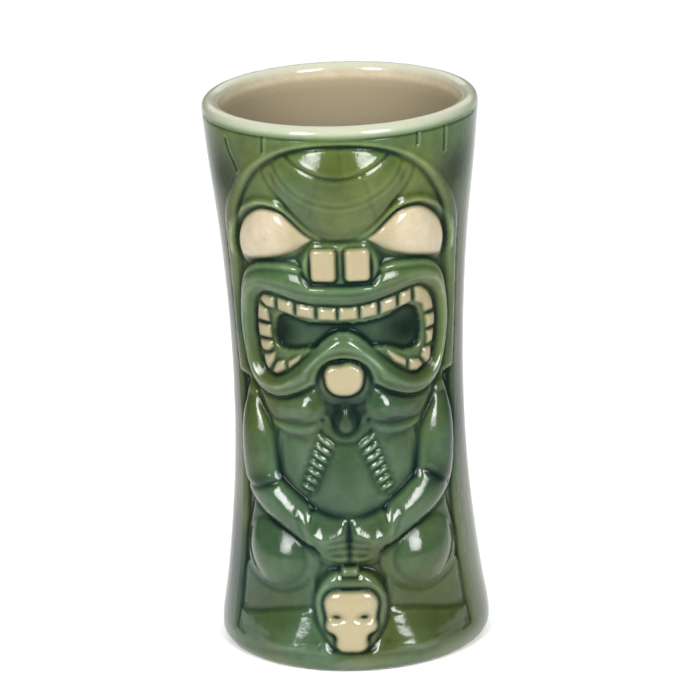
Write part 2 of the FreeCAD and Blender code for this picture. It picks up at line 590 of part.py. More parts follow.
ARM_OUTER = [(30.6, 91.4), (32.2, 84), (32.9, 75), (32.9, 66), (32.5, 59), (31.2, 53.8), (28.8, 50.6),
             (24.4, 47.6), (18.8, 44.2), (12, 39.7)]
ARM_TOP = [(12, 54), (16.8, 57.7), (21.7, 62.2)]
ARM_INNER = [(21.7, 62.2), (22.1, 66), (22.5, 70.4), (23.2, 75.4), (24.9, 80.2), (27.2, 84.6),
             (28.2, 88.6)]
relief_pair("arm", high, prism("arm", [
    ARM_OUTER, [ARM_OUTER[-1], ARM_TOP[0]], ARM_TOP, ARM_INNER, [(28.2, 88.6), (30.6, 91.4)]]))
HAND_TOP = [(0.3, 49.9), (5, 50.4), (11.5, 53.4)]
HAND_LOW = [(11.5, 53.4), (11.4, 47.5), (11.3, 41), (9.3, 37.2), (4.8, 35.7), (0.3, 35.3)]
relief_pair("hand", high, prism("hand", [HAND_TOP, HAND_LOW, [HAND_LOW[-1], HAND_TOP[0]]]))

# ---------------------------------------------------------------- legs

KNEE_TOP = [(10.9, 37.4), (14, 40.8), (18.8, 43.8), (24.4, 47), (28.6, 49.6), (30.8, 51.4)]
KNEE_LOW = [(30.8, 51.4), (32.6, 43), (33.6, 35.8), (33.1, 30.6), (30, 27), (24.6, 25.5),
            (19.3, 26.5), (14.9, 29), (12, 32.6), (10.9, 37.4)]
relief_pair("knee", high, prism("knee", [KNEE_TOP, KNEE_LOW]))
SHIN_TOP = [(12.9, 30.6), (16, 27.6), (20, 25.8), (24.6, 24.9), (30.2, 26.4), (34, 29.8)]
SHIN_SIDE = [(34, 29.8), (35.2, 23), (36.2, 16)]
SHIN_LOW = [(36.2, 16), (31.6, 16.4), (25.2, 18.6), (18.7, 20.2), (12.6, 21.2)]
relief_pair("shin", middle, prism("shin", [
    SHIN_TOP, SHIN_SIDE, SHIN_LOW, [SHIN_LOW[-1], SHIN_TOP[0]]]))
FOOT_TOP = [(12.2, 20.2), (18.7, 19.2), (25.2, 17.6), (31.6, 15.4), (36.5, 14.6)]
FOOT_LOW = [(37.6, 8.4), (20, 7.7), (7.6, 8.4)]
FOOT_INNER = [(7.6, 8.4), (9.6, 12), (11.4, 15.6), (12.2, 20.2)]
relief_pair("foot", high, prism("foot", [
    FOOT_TOP, [FOOT_TOP[-1], FOOT_LOW[0]], FOOT_LOW, FOOT_INNER]))

PLINTH_DIP = [(0, 5.3), (4.6, 5.6), (7.6, 7.8)]
PLINTH_TOP = [(7.6, 7.8), (20, 7.2), (37.8, 7.8)]
PLINTH_CORNER = (38.2, 4)
relief("plinth", mantle_layer, prism("plinth", [
    both_sides(PLINTH_DIP), PLINTH_TOP, [PLINTH_TOP[-1], PLINTH_CORNER],
    [PLINTH_CORNER, mirrored([PLINTH_CORNER])[0]],
    mirrored([PLINTH_CORNER, PLINTH_TOP[-1]]), mirrored(reverse(PLINTH_TOP))]))

# ---------------------------------------------------------------- skull

SKULL = [(0, 33.2), (4.2, 32.9), (7.4, 31.2), (9.8, 28.3), (11.3, 24.6), (11.5, 20.4), (10.9, 16.4),
         (9.4, 13), (7.6, 9.6), (5.2, 6.8), (0, 5.9)]
FACE = [(0, 27.5), (4, 27.4), (7, 26.4), (8.6, 23.8), (8.4, 20.4), (8.1, 17.4), (8.4, 15), (7.4, 13.5),
        (5.8, 12.7), (5.2, 11), (5.3, 9), (4, 7.4), (0, 6.9)]
face = prism("face", [loop_of(FACE)])
knot = prism("knot", rounded_box(-2.9, 31.5, 2.9, 34.7, 0.8))
relief("skull_head", skull_layer, prism("skull_head", [loop_of(SKULL)]), [face, knot])
relief("skull_face", skull_layer, face)
relief("top_knot", skull_layer, knot)

# ---------------------------------------------------------------- checks and files

doc.recompute()
for item in doc.Objects:
    bad = [state for state in item.State if state in ("Invalid", "Error")]
    if bad:
        raise RuntimeError(f"{item.Name} is {bad}")
os.makedirs("parts", exist_ok=True)
for node in nodes:
    if node.Shape.isNull() or not node.Shape.isValid() or not node.Shape.Solids:
        raise RuntimeError(f"{node.Label} has no valid solid")
for node in nodes:
    node.Shape.exportStep(os.path.join("parts", node.Label + ".step"))
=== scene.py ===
import math

import bpy
import numpy as np
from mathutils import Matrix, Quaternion, Vector
from mathutils.bvhtree import BVHTree


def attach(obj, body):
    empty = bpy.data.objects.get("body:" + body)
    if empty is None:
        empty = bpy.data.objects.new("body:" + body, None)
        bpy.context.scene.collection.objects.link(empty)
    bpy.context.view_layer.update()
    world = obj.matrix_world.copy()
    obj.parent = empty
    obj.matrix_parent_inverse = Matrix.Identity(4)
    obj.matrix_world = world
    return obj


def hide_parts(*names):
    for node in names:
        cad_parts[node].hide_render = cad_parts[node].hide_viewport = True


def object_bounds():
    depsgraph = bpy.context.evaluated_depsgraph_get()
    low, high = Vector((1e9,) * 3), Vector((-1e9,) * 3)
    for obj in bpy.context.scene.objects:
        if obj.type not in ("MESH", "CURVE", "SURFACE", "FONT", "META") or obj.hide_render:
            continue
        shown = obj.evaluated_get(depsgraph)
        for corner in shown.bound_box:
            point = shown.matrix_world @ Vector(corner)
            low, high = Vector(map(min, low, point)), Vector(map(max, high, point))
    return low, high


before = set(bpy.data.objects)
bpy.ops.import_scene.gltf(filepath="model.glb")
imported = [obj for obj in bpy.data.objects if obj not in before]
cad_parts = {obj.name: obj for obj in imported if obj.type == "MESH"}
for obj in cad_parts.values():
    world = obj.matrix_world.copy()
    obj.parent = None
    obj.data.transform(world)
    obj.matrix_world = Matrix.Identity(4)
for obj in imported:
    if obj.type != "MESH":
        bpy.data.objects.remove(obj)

cad_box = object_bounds()

# The mug is one height field over a flared wall. The CAD nodes give the outlines of the carved
# masses and the wall's radius; the rounded forms are built here, in millimetres, and cut into one
# closed piece for each node. Angles are measured round +Z from the front, -Y, towards +X.

MM = 0.001
CELL = 0.34        # grid step on the front
BACK_CELL = 1.1                            # grid step round the back, in mm of arc
FRONT_ANGLE = 82.0                         # how far round the fine grid goes, degrees
UNROLL = 38.0                              # mm of arc for one radian, used for flat distances
HIDDEN = 1.7                               # how far a piece reaches below the ground, out of sight
FAR = 99.0                                 # a distance past anything on the mug
CELLS_AT_ONCE = 1_500_000                  # how many distances are worked out at once

# ------------------------------------------------------------------ reading the frame


def node_mesh(node):
    """Vertices in mm and triangles of a CAD node, with its split vertices joined."""
    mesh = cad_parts[node].data
    places = np.empty(len(mesh.vertices) * 3)
    mesh.vertices.foreach_get("co", places)
    mesh.calc_loop_triangles()
    corners = np.empty(len(mesh.loop_triangles) * 3, np.int64)
    mesh.loop_triangles.foreach_get("vertices", corners)
    rounded = np.round(places.reshape(-1, 3) / MM, 3)
    joined, inverse = np.unique(rounded, axis=0, return_inverse=True)
    return joined, inverse.reshape(-1)[corners].reshape(-1, 3)


def wall_fit():
    """The mantle's outer radius as a polynomial of height, and its thickness."""
    points, triangles = node_mesh("mantle")
    radius = np.hypot(points[:, 0], points[:, 1])
    height = points[:, 2]
    # Points outside a rough curve through both faces are the outer face, and a finer curve follows it.
    rough = np.polyfit(height, radius, 4)
    outer = radius > np.polyval(rough, height)
    for _ in range(3):
        fit = np.polynomial.Polynomial.fit(height[outer], radius[outer], 12)
        outer &= abs(fit(height) - radius) < 0.3
    thickness = np.mean(fit(height[~outer]) - radius[~outer])
    return fit, float(thickness), float(height.min()), float(height.max())


WALL, DEPTH, LOW_Z, HIGH_Z = wall_fit()
TOTAL = cad_box[1].z / MM


def wall_radius(z):
    return WALL(np.clip(z, LOW_Z, HIGH_Z))


def unroll_x(x, z):
    """Arc length from the front's middle line of a point seen from the front."""
    return UNROLL * np.arcsin(np.clip(x / wall_radius(z), -1, 1))


# ------------------------------------------------------------------ the grid

front_steps = int(round(2 * math.radians(FRONT_ANGLE) * UNROLL / CELL))
back_steps = int(round((360 - 2 * FRONT_ANGLE) / 360 * math.tau * UNROLL / BACK_CELL))
front_angles = np.linspace(-FRONT_ANGLE, FRONT_ANGLE, front_steps + 1)
back_angles = np.linspace(FRONT_ANGLE, 360 - FRONT_ANGLE, back_steps + 1)[1:-1]
ANGLES = np.radians(np.concatenate([front_angles, back_angles]))
ROWS = np.linspace(LOW_Z, HIGH_Z, int(round((HIGH_Z - LOW_Z) / CELL)) + 1)
FRONT = slice(0, front_steps + 1)
N_ROWS, N_COLS = len(ROWS), len(ANGLES)
STEP_U = UNROLL * (ANGLES[1] - ANGLES[0])
STEP_Z = ROWS[1] - ROWS[0]

ARC = np.broadcast_to(UNROLL * ANGLES, (N_ROWS, N_COLS)).copy()
HEIGHT = np.broadcast_to(ROWS[:, None], (N_ROWS, N_COLS)).copy()
SEEN_X = wall_radius(ROWS)[:, None] * np.sin(ANGLES)[None, :]


def smooth(values, sigma_mm):
    """A Gaussian blur of a grid over the fine front, in both directions."""
    out = values.copy()
    part = out[:, FRONT]
    for axis, step in ((0, STEP_Z), (1, STEP_U)):
        reach = max(1, int(math.ceil(2.5 * sigma_mm / step)))
        weights = np.exp(-0.5 * (np.arange(-reach, reach + 1) * step / sigma_mm) ** 2)
        weights /= weights.sum()
        pad = [(0, 0), (0, 0)]
        pad[axis] = (reach, reach)
        padded = np.pad(part, pad, mode="edge")
        length = part.shape[axis]
        total = np.zeros_like(part)
        for k, weight in enumerate(weights):
            total += weight * np.take(padded, np.arange(k, k + length), axis=axis)
        part = total
    out[:, FRONT] = part
    return out


def distance_to(segments, u, z):
    """Distance from each point to the nearest segment, and that nearest point."""
    start, along = segments[:, :2], segments[:, 2:] - segments[:, :2]
    length2 = np.maximum((along**2).sum(1), 1e-12)
    best = np.empty(len(u))
    near = np.empty((len(u), 2))
    chunk = max(1, CELLS_AT_ONCE // len(segments))
    for first in range(0, len(u), chunk):
        part = slice(first, first + chunk)
        du = u[part, None] - start[None, :, 0]
        dz = z[part, None] - start[None, :, 1]
        t = np.clip((du * along[:, 0] + dz * along[:, 1]) / length2, 0, 1)
        ru, rz = du - t * along[:, 0], dz - t * along[:, 1]
        d2 = ru**2 + rz**2
        pick = d2.argmin(1)
        rows = np.arange(len(pick))
        best[part] = np.sqrt(d2[rows, pick])
        near[part, 0] = u[part] - ru[rows, pick]
        near[part, 1] = z[part] - rz[rows, pick]
    return best, near


class Region:
    """Where a CAD node lies on the grid: what it covers and the distance to its outline."""

    MARGIN = 5.0

    def __init__(self, node):
        self.node = node
        points, triangles = node_mesh(node)
        self.loops = self._walls(points, triangles)
        every = np.concatenate(self.loops)
        low_u, high_u = every[:, [0, 2]].min(), every[:, [0, 2]].max()
        low_z, high_z = every[:, [1, 3]].min(), every[:, [1, 3]].max()
        rows = np.nonzero((ROWS > low_z - self.MARGIN) & (ROWS < high_z + self.MARGIN))[0]
        arcs = UNROLL * ANGLES[FRONT]
        cols = np.nonzero((arcs > low_u - self.MARGIN) & (arcs < high_u + self.MARGIN))[0]
        self.window = (slice(rows[0], rows[-1] + 1), slice(cols[0], cols[-1] + 1))
        self.u, self.z, self.x = ARC[self.window], HEIGHT[self.window], SEEN_X[self.window]
        self.inside = self._covered(points, triangles)
        away, near = distance_to(every, self.u.ravel(), self.z.ravel())
        self.edge = away.reshape(self.u.shape)
        self.near = near.reshape(self.u.shape + (2,))
        self.signed = np.where(self.inside, -self.edge, self.edge)

    def distance(self, segments):
        """Distance from each of the window's points to some segments."""
        return distance_to(segments, self.u.ravel(), self.z.ravel())[0].reshape(self.u.shape)

    def _walls(self, points, triangles):
        """The outline's segments, one array for each closed loop, longest loop first."""
        a, b, c = (points[triangles[:, k]] for k in range(3))
        normal = np.cross(b - a, c - a)
        size = np.linalg.norm(normal, axis=1) + 1e-12
        ends = np.zeros(len(triangles), bool)
        for level in (LOW_Z, HIGH_Z):
            ends |= (abs(np.stack([a, b, c])[..., 2] - level) < 0.01).all(0)
        front = (a + b + c)[:, 1] / 3 < -3
        cut_straight = abs(normal[:, 1]) < 0.02 * size
        wall = triangles[cut_straight & ~ends & front & (size > 1e-9)]
        # Triangles that share a point get the same owner, step by step, until each loop has one.
        owner = np.arange(len(points))
        while True:
            lowest = owner[wall].min(1)
            before = owner.copy()
            for k in range(3):
                np.minimum.at(owner, wall[:, k], lowest)
            if (owner == before).all():
                break
        flat = np.stack([unroll_x(points[:, 0], points[:, 2]), points[:, 2]], 1)
        pairs = np.stack([wall[:, [0, 1]], wall[:, [1, 2]], wall[:, [2, 0]]], 1)
        lengths = np.linalg.norm(flat[pairs[..., 0]] - flat[pairs[..., 1]], axis=2)
        longest = pairs[np.arange(len(wall)), lengths.argmax(1)]
        segments = np.concatenate([flat[longest[:, 0]], flat[longest[:, 1]]], 1)
        loops = []
        for label in np.unique(owner[wall[:, 0]]):
            part = segments[owner[wall[:, 0]] == label]
            swap = part[:, 0] > part[:, 2]
            part[swap] = part[swap][:, [2, 3, 0, 1]]
            loops.append(np.unique(np.round(part, 2), axis=0))
        loops.sort(key=lambda part: -np.ptp(part[:, [1, 3]]))
        return loops

    def _covered(self, points, triangles):
        """Where a line from the front meets the node on the mug's front half."""
        tree = BVHTree.FromPolygons(points.tolist(), triangles.tolist())
        low, high = points.min(0), points.max(0)
        toward = Vector((0, 1, 0))
        covered = np.zeros(self.u.shape, bool)
        candidates = (self.x > low[0]) & (self.x < high[0]) & (self.z > low[2]) & (self.z < high[2])
        for row, col in zip(*np.nonzero(candidates)):
            start = Vector((self.x[row, col], -100, self.z[row, col]))
            hit = tree.ray_cast(start, toward)[0]
            covered[row, col] = hit is not None and hit.y < 0
        return covered


regions = {name: Region(name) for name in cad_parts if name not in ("vessel", "mantle")}

# ------------------------------------------------------------------ the carving

H = np.zeros((N_ROWS, N_COLS))             # mm out from the mantle's surface
GROUND = -DEPTH                            # the wall under the carved masses
NICHE_FLOOR = -1.8                         # open floor between the masses
GAP_FLOOR = -1.1                           # narrow gaps, which the glaze fills up to here
ARCH_SWELL, ARCH_FOOT = 0.35, -0.8         # the hood's ridge and its inner edge
BASE = -0.15                               # the mug's base, with the feet's lower ends
SOCKETS = (-4.7, 4.1)                      # the middles of the skull's eye sockets
GLAZE_ROUNDING = 0.48                      # how far the glaze rounds every edge


def step(values, width):
    """0 to 1 over a width, smoothly."""
    t = np.clip(values / width, 0, 1)
    return t * t * (3 - 2 * t)


def rounded(distance, width):
    """0 at an edge, rising like a quarter round to 1 at this distance from it."""
    t = np.clip(distance / width, 0, 1)
    return (1 - (1 - t) ** 2) ** 0.7


def bell(values, width):
    """1 at zero, falling to almost nothing at twice the width."""
    return np.exp(-((values / width) ** 2))


def soft_inside(signed):
    """1 inside an outline and 0 outside, changing over one grid cell."""
    return np.clip(0.5 - signed / CELL, 0, 1)


def mask_of(*nodes):
    """1 over these nodes and 0 elsewhere."""
    mask = np.zeros_like(H)
    for name in nodes:
        region = regions[name]
        mask[region.window] = np.maximum(mask[region.window], soft_inside(region.signed))
    return mask


def lay(window, weight, value):
    """Set the height where the weight is 1 and mix it in where the weight is less."""
    H[window] += (value - H[window]) * weight


def pillow(mask, reach):
    """0 at the edge of a mask and 1 well inside it, domed over about twice this distance."""
    return np.clip(2 * smooth(mask, reach) - 1, 0, 1)


def carve(name, edge, top, width, crown=0.0, reach=2.0):
    """Give a node its height at the edge, on top within a width, and a crown in the middle."""
    region = regions[name]
    value = edge + (top - edge) * rounded(-region.signed, width)
    if crown:
        value += crown * pillow(mask_of(name), reach)[region.window]
    lay(region.window, soft_inside(region.signed), value)


def line(name, at, width, height, only=()):
    """A ridge or, below 0, a groove along a node's outline, this far outside it."""
    region = regions[name]
    added = height * bell(region.signed - at, width)
    if only:
        added *= smooth(mask_of(*only), 0.5)[region.window]
    H[region.window] += added


def spot(x, z, across, up, height, power=1.0):
    """A round or oval bump or dent at a place seen from the front."""
    far = ((SEEN_X[:, FRONT] - x) / across) ** 2 + ((HEIGHT[:, FRONT] - z) / up) ** 2
    H[:, FRONT] += height * np.exp(-(far**power))


def stroke(points, depth, width, ridge=0.0):
    """A groove through points seen from the front, with or without a ridge on its right."""
    places = np.array(points, float)
    flat = np.stack([unroll_x(places[:, 0], places[:, 1]), places[:, 1]], 1)
    segments = np.concatenate([flat[:-1], flat[1:]], 1)
    low, high = flat.min(0) - 4 * width - 2, flat.max(0) + 4 * width + 2
    rows = (ROWS > low[1]) & (ROWS < high[1])
    cols = np.zeros(N_COLS, bool)
    cols[FRONT] = (ARC[0, FRONT] > low[0]) & (ARC[0, FRONT] < high[0])
    window = np.ix_(rows, cols)
    u, z = ARC[window], HEIGHT[window]
    away, near = distance_to(segments, u.ravel(), z.ravel())
    away, side = away.reshape(u.shape), u - near[:, 0].reshape(u.shape)
    H[window] -= depth * bell(away, width)
    if ridge:
        H[window] += ridge * bell(away - 2 * width, width) * (side > 0)


# The left side's x is below 0.
SIDES = (("left", -1), ("right", 1))


def both_strokes(points, depth, width):
    for _, out in SIDES:
        stroke([(out * x, z) for x, z in points], depth, width)


def both_spots(x, *shape):
    for _, out in SIDES:
        spot(out * x, *shape)


def pair(name, *shape):
    for side, _ in SIDES:
        carve(f"{name}_{side}", *shape)


# The niche's wall falls softly from the mantle, which carries the headband's cut strokes.

niche = Region("mantle")
in_niche = np.zeros((N_ROWS, N_COLS), bool)
in_niche[niche.window] = ~niche.inside
from_wall = np.full((N_ROWS, N_COLS), FAR)
from_wall[niche.window] = niche.edge
# the distance to the nearest outline of all, and the nearest point on it
nearest = np.full((N_ROWS, N_COLS), FAR)
target = np.zeros((N_ROWS, N_COLS, 2))
for region in list(regions.values()) + [niche]:
    closer = region.edge < nearest[region.window]
    nearest[region.window][closer] = region.edge[closer]
    target[region.window][closer] = region.near[closer]
in_gap = in_niche & (mask_of(*regions) <= 0.5)
floor_depth = GAP_FLOOR + (NICHE_FLOOR - GAP_FLOOR) * step(nearest - 0.35, 1.2)
H[in_niche] = (floor_depth * step(from_wall, 1.9))[in_niche]

# The forehead's three plates are one dome, with a cut line round each plate and a few thin grooves.

PLATES = ("forehead_crown", "forehead_band", "forehead_brow")
forehead = step(smooth(mask_of(*PLATES), 0.6) - 0.2, 0.3)
lay(..., forehead, -1.3 + 0.6 * pillow(forehead, 1.0) + 3.6 * pillow(forehead, 6.5))
H += 0.15 * mask_of("forehead_crown") - 0.15 * mask_of("forehead_brow")
for plate in ("crown", "band"):
    line(f"forehead_{plate}", -0.9, 0.7, 0.2, PLATES)
    line(f"forehead_{plate}", 0.35, 0.45, -0.3, PLATES)
line("forehead_brow", -0.7, 0.6, 0.3, ("forehead_brow",))
stroke([(0.6, 172), (1.2, 163.5)], 0.2, 0.4)
stroke([(7.2, 163), (8.4, 160), (9.6, 155.8)], 0.2, 0.4)
stroke([(9.4, 154.4), (10.6, 151.5), (11.6, 148.4)], 0.22, 0.4)
stroke([(-5, 162.4), (-6.4, 159), (-7, 156)], 0.12, 0.4)
stroke([(-7.6, 153.6), (-9, 149)], 0.15, 0.5)

# The hood's arch swells out of the mantle on its outer side and drops into the niche inside. The
# eyes are domed, under lids that swell round them.

arch = regions["hood_arch"]
arch_wall = from_wall[arch.window]
swelling = ARCH_SWELL * step(arch_wall, 1.5)
falling = ARCH_FOOT + (ARCH_SWELL - ARCH_FOOT) * rounded(arch.edge, 1.6)
outer_side = step(arch.edge + 1.5 - arch_wall, 1.2)
arch_height = falling + (swelling - falling) * outer_side
lay(arch.window, soft_inside(arch.signed), arch_height)
# The sliver between the arch and the niche's wall is level with the mantle.
H[in_gap & (from_wall < 0.8) & (HEIGHT > arch.z[arch.inside].min())] = 0
for side, out in SIDES:
    carve(f"eyelid_{side}", -1.3, -0.9, 1.5)
    line(f"eye_{side}", 1.9, 1.15, 1.25, (f"eyelid_{side}", "hood_arch"))
    carve(f"eye_{side}", -1.4, -0.2, 2.4, 1.5, 3.0)
    line(f"eye_{side}", 0.2, 0.6, -0.5, (f"eyelid_{side}",))
    stroke([(out * 31, 138), (out * 24, 140), (out * 14, 140.6)], 0.09, 0.5)
    stroke([(out * 30, 143), (out * 23, 144), (out * 14, 142)], 0.09, 0.5)

carve("nose", -1.1, 0.7, 2.2)
pair("nostril", 0.6, 1.5, 1.3)

# The lips have an outer ridge, a dip, the crest and a bevel down to the teeth. Their outline has a
# notch for the nose, which a straight bridge closes, so that the ridge runs on under the nose.

lips = regions["lips"]
outline, opening = lips.loops[0], lips.loops[1]
nose_side = regions["nose"].loops[0][:, [0, 2]].max()
upper = outline[:, 1] > 125
under_nose = upper & (abs(outline[:, [0, 2]]).max(1) < nose_side + 0.2)
beside_nose = upper & ~under_nose & (abs(outline[:, 0]) < nose_side + 2)
bridge_z = outline[beside_nose, 1].mean()
bridge = np.array([[-nose_side, bridge_z, nose_side, bridge_z]])
to_outline = lips.distance(np.concatenate([outline[~under_nose], bridge]))
to_opening = lips.distance(opening)
lip_width = to_outline + to_opening
across = to_outline / lip_width
bevel = np.minimum(2.7, 0.42 * lip_width)
lip_height = -1.4 + 1.7 * rounded(to_outline, 1.3)
lip_height += 0.3 * bell(to_outline - 1.0, 0.55) - 0.15 * bell(to_outline - 2.4, 0.8)
lip_height += 1.3 * bell(across - 0.52, 0.24) * step(lip_width, 6)
lip_height += 0.14 * bell(to_opening - bevel, 0.5) - 0.2 * bell(to_opening - bevel - 1.0, 0.45)
lip_height -= 0.9 * (1 - np.clip(to_opening / bevel, 0, 1)) ** 1.2
lay(lips.window, soft_inside(lips.signed), lip_height)
line("nose", 0.3, 0.45, -0.7, ("lips",))

# The mouth's floor drops away from the gums.

gums = regions["gums"]
gape = gums.distance(gums.loops[1])
carve("gums", -1.6, -1.25, 1.2)
mouth_middle = (abs(SEEN_X) < 26) & (HEIGHT > 101) & (HEIGHT < 119)
floor_here = (in_gap & mouth_middle)[gums.window]
H[gums.window][floor_here] = (-1.5 - 1.3 * step(gape, 2.2))[floor_here]
carve("teeth_upper", -1.4, -0.45, 1.2, 0.25, 1.0)
pair("teeth_side", -1.4, -0.5, 1.2, 0.2, 1.0)

# the chin, the mouth's corners and the tuft's flutes

carve("chin", -1.5, -0.4, 2.2)
carve("chin_tuft", 0.1, 0.9, 1.8, 0.5, 1.8)
for x, across in ((-21.5, 4.5), (20.5, 6)):
    spot(x, 110.5, across, 5, -0.7)
for flute in (-4.4, -2.7, -1.0, 0.8, 2.6, 4.3):
    stroke([(flute * 0.8, 96), (flute, 101.5)], 0.3, 0.35)

# chest, belly and fringe

spot(0, 81, 7, 7, -0.6, 2.0)
pair("pectoral", -1.3, -0.7, 1.6, 3.6, 4.4)
both_spots(11, 84.8, 5.5, 4.5, 1.1)
pair("rib", -1.2, -0.45, 1.5, 0.2, 2.0)
carve("throat_drop", -2.0, -1.0, 1.8, 0.5, 1.0)
carve("collar_lip", -1.7, -1.1, 1.4)
carve("belly", -1.2, -0.7, 2.4, 1.3, 4.0)
pair("flank", -1.4, -1.05, 2.2, 0.7, 3.4)
pair("fringe", -1.1, 0.1, 1.0)

# arms, hands and legs

for side, out in SIDES:
    limb = step(smooth(mask_of(f"arm_{side}", f"hand_{side}"), 0.7) - 0.45, 0.2)
    fist = step(13 - out * SEEN_X, 4)
    lay(..., limb, -0.9 + pillow(limb, 0.8) + (4.0 - 1.7 * fist) * pillow(limb, 4.5))
    line(f"arm_{side}", -0.8, 0.5, 0.2, (f"arm_{side}",))
    spot(out * 7.8, 43.6, 3.8, 3.0, 1.5)
    spot(out * 2.6, 45.2, 1.6, 2.2, 0.3)
stroke([(-31.4, 57.8), (-26, 58.2), (-21.8, 60.4)], 0.7, 1.0)
stroke([(23.4, 63.4), (26.4, 60.4), (29.4, 57.6)], 0.7, 1.0)
for level, reach in ((43.0, 6.2), (40.8, 6.0), (38.5, 5.2)):
    both_strokes([(0.8, level), (reach, level - 0.3)], 0.5, 0.45)
both_strokes([(13.4, 44), (15.0, 48.4), (15.6, 52)], 0.3, 0.7)

pair("knee", -1.2, -0.8, 1.6, 4.4, 6.2)
pair("shin", -1.5, -1.1, 1.6)
carve("plinth", BASE, 0.0, 1.2)
H[in_gap & (HEIGHT < 9) & (abs(SEEN_X) > 8)] = BASE
base_blend = 1 - step(HEIGHT - 7.4, 3.2)
for side, out in SIDES:
    carve(f"foot_{side}", -1.3, -0.8, 1.5, 0.9, 3.0)
    line(f"foot_{side}", -0.7, 0.5, 0.25, (f"foot_{side}",))
    region = regions[f"foot_{side}"]
    lay(region.window, soft_inside(region.signed) * base_blend[region.window], BASE)
    spot(out * 21, 8.0, 8.5, 4.6, 1.8)

# the skull leans out over the feet

carve("skull_head", -1.1, 0.45, 2.6)
carve("skull_face", 0.3, 0.9, 1.8, 1.0, 2.6)
carve("top_knot", -0.9, 0.9, 0.9)
lean = 0.08 * (HEIGHT - 20)
H += lean * mask_of("skull_head", "skull_face")
for socket in SOCKETS:
    spot(socket, 18.7, 2.6, 1.5, -1.5)
    spot(socket, 16.8, 2.2, 0.7, 0.4)
both_spots(6.4, 15.4, 1.8, 1.4, 0.35)
both_spots(4.7, 11.9, 1.0, 1.4, -0.35)
spot(0.4, 16.6, 1.2, 1.6, 0.35)
stroke([(-3.6, 12.9), (0, 12.4), (3.6, 12.9)], 0.18, 0.5)

H = smooth(H, GLAZE_ROUNDING)

# strokes cut in the headband, and the hollow outside the arch

for x, z_low, z_high in ((24.5, 170.5, 176), (32.6, 166.5, 175.5), (-23, 169.5, 176)):
    stroke([(x, z_low), (x + 0.3, z_high)], 0.28, 0.45, 0.2)
stroke([(-34.6, 171), (-33.6, 166.5), (-31.4, 161.5)], 0.3, 0.5, 0.2)
both_spots(33.6, 160, 3.2, 6.0, -0.5, 1.2)

# The carving fades out at both ends of the wall, and the wall's top flares out to the rim.
H *= step(HEIGHT - LOW_Z, 3.5) * step(HIGH_Z - HEIGHT, 0.9)
RIM_OUTER = cad_box[1].x / MM
H += (RIM_OUTER - wall_radius(HIGH_Z)) * step(HEIGHT - HIGH_Z + 8, 8)

# ------------------------------------------------------------------ cutting the field into pieces

# A grid point next to an outline moves onto it, so that the pieces meet along the outline itself.
snap = nearest < 0.52 * min(STEP_U, STEP_Z)
snap[:2] = snap[-2:] = False
move_u = np.where(snap, target[..., 0] - ARC, 0.0)
move_z = np.where(snap, target[..., 1] - HEIGHT, 0.0)
slope_z, slope_u = np.zeros_like(H), np.zeros_like(H)
slope_z[1:-1] = (H[2:] - H[:-2]) / (2 * STEP_Z)
slope_u[:, 1:front_steps] = (H[:, 2:front_steps + 1] - H[:, :front_steps - 1]) / (2 * STEP_U)
final_h = H + slope_z * move_z + slope_u * move_u
final_u, final_z = ARC + move_u, HEIGHT + move_z


def on_wall(u, z, out):
    """Places at an arc length and a height, this far out from the mantle's surface."""
    radius = wall_radius(z) + out
    return np.stack([radius * np.sin(u / UNROLL), -radius * np.cos(u / UNROLL), z], -1)


TOP = on_wall(final_u, final_z, final_h)
UNDER = on_wall(final_u, final_z, np.full_like(final_h, GROUND - HIDDEN))


def grid_normals(points):
    """Outward normals of a closed-round grid of points."""
    wrapped = np.concatenate([points[:, -1:], points, points[:, :1]], 1)
    around = wrapped[:, 2:] - wrapped[:, :-2]
    up = np.gradient(points, axis=0)
    normal = np.cross(around, up)
    return normal / np.linalg.norm(normal, axis=2, keepdims=True)


NORMALS = grid_normals(TOP)


def face_signed(region):
    """Signed distance to a node's outline in the middle of each grid face in its window.

    A point that moved onto this outline counts as on it; one that moved onto another's doesn't.
    """
    on_outline = snap[region.window] & (region.edge <= STEP_U)
    signed = np.where(on_outline, 0, region.signed)
    return (signed[:-1, :-1] + signed[1:, :-1] + signed[:-1, 1:] + signed[1:, 1:]) / 4


def face_window(region):
    """The grid faces between the points of a node's window."""
    rows, cols = region.window
    return slice(rows.start, rows.stop - 1), slice(cols.start, cols.stop - 1)


# Each grid face goes to the node it lies deepest in; past the nodes it goes to the mantle or, in the
# niche, to the vessel, whose number is -1.
names = sorted(regions) + ["mantle"]
owner = np.full((N_ROWS - 1, N_COLS), -1)
depth_in = np.zeros((N_ROWS - 1, N_COLS))
for index, name in enumerate(names[:-1]):
    window, signed = face_window(regions[name]), face_signed(regions[name])
    better = signed < depth_in[window]
    depth_in[window][better] = signed[better]
    owner[window][better] = index
on_mantle = np.ones((N_ROWS - 1, N_COLS), bool)
on_mantle[face_window(niche)] = face_signed(niche) < 0
owner[on_mantle & (owner < 0)] = names.index("mantle")

# ------------------------------------------------------------------ tints, one number for each point

# How thick the glaze lies, from 0 to 1, with painted shade in it: more in the hollows, where it also stands
# for their shade, and more in the deep recesses as painted shade; less on the ridges.
EVEN_POOL, BASE_POOL = 0.45, 0.4           # on level ground, and on the mug's base, rim and foot
hollow = smooth(H, 0.8) - H
hollow *= np.where(hollow > 0, 1.6, 0.9)
# painted shade: wide hollows and places more than 1.5 mm deep are darkened further
hollow += 0.06 * (smooth(H, 3.0) - H) + 0.14 * np.clip(-1.5 - H, 0, 2)


def oval(x, z, across, up):
    """1 at a place seen from the front, falling off over these half sizes, and 0 at the back."""
    in_front = abs(ANGLES) < 1.5
    return np.exp(-(((SEEN_X - x) / across) ** 2) - ((HEIGHT - z) / up) ** 2) * in_front
